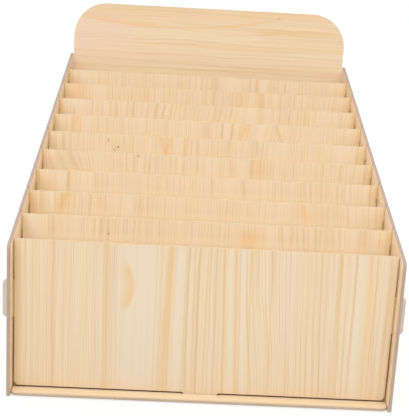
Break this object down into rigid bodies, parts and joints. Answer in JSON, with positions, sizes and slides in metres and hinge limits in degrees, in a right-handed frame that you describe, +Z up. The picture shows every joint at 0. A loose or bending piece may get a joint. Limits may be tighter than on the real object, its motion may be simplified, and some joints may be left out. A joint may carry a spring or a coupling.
{
  "type": "desk mail organizer",
  "caption": "Free-standing desk mail organizer of slotted thin wood-grain board, with sloping sides, upright lift-out dividers and a tall round-cornered back panel.",
  "frame": {"origin": "on the table under the middle of the organizer", "axes": "+X to the organizer's right as seen from the front, +Y from the low front to the tall back, +Z up"},
  "size_m": [0.3414, 0.387, 0.33],
  "materials": {
    "side_board": "satin pine-grain laminate, bare brown cut edges",
    "base_board": "satin pine-grain laminate, grain across",
    "front_board": "satin pine-grain laminate, upright grain",
    "divider_board": "satin pine-grain laminate, upright grain",
    "back_board": "satin pine-grain laminate, grain across"
  },
  "bodies": {
    "frame": {"side_panel_left": "side_board", "side_panel_right": "side_board", "base": "base_board", "front_panel": "front_board", "back_panel": "back_board"},
    "divider_1": {"divider_1": "divider_board"},
    "divider_2": {"divider_2": "divider_board"},
    "divider_3": {"divider_3": "divider_board"},
    "divider_4": {"divider_4": "divider_board"},
    "divider_5": {"divider_5": "divider_board"},
    "divider_6": {"divider_6": "divider_board"},
    "divider_7": {"divider_7": "divider_board"},
    "divider_8": {"divider_8": "divider_board"},
    "divider_9": {"divider_9": "divider_board"}
  },
  "joints": [
    {"name": "lift_divider_1", "type": "slide", "parent": "frame", "child": "divider_1", "axis": [0, 0, 1], "range_m": [0, 0.16]},
    {"name": "lift_divider_2", "type": "slide", "parent": "frame", "child": "divider_2", "axis": [0, 0, 1], "range_m": [0, 0.17]},
    {"name": "lift_divider_3", "type": "slide", "parent": "frame", "child": "divider_3", "axis": [0, 0, 1], "range_m": [0, 0.18]},
    {"name": "lift_divider_4", "type": "slide", "parent": "frame", "child": "divider_4", "axis": [0, 0, 1], "range_m": [0, 0.2]},
    {"name": "lift_divider_5", "type": "slide", "parent": "frame", "child": "divider_5", "axis": [0, 0, 1], "range_m": [0, 0.21]},
    {"name": "lift_divider_6", "type": "slide", "parent": "frame", "child": "divider_6", "axis": [0, 0, 1], "range_m": [0, 0.22]},
    {"name": "lift_divider_7", "type": "slide", "parent": "frame", "child": "divider_7", "axis": [0, 0, 1], "range_m": [0, 0.24]},
    {"name": "lift_divider_8", "type": "slide", "parent": "frame", "child": "divider_8", "axis": [0, 0, 1], "range_m": [0, 0.25]},
    {"name": "lift_divider_9", "type": "slide", "parent": "frame", "child": "divider_9", "axis": [0, 0, 1], "range_m": [0, 0.26]}
  ]
}
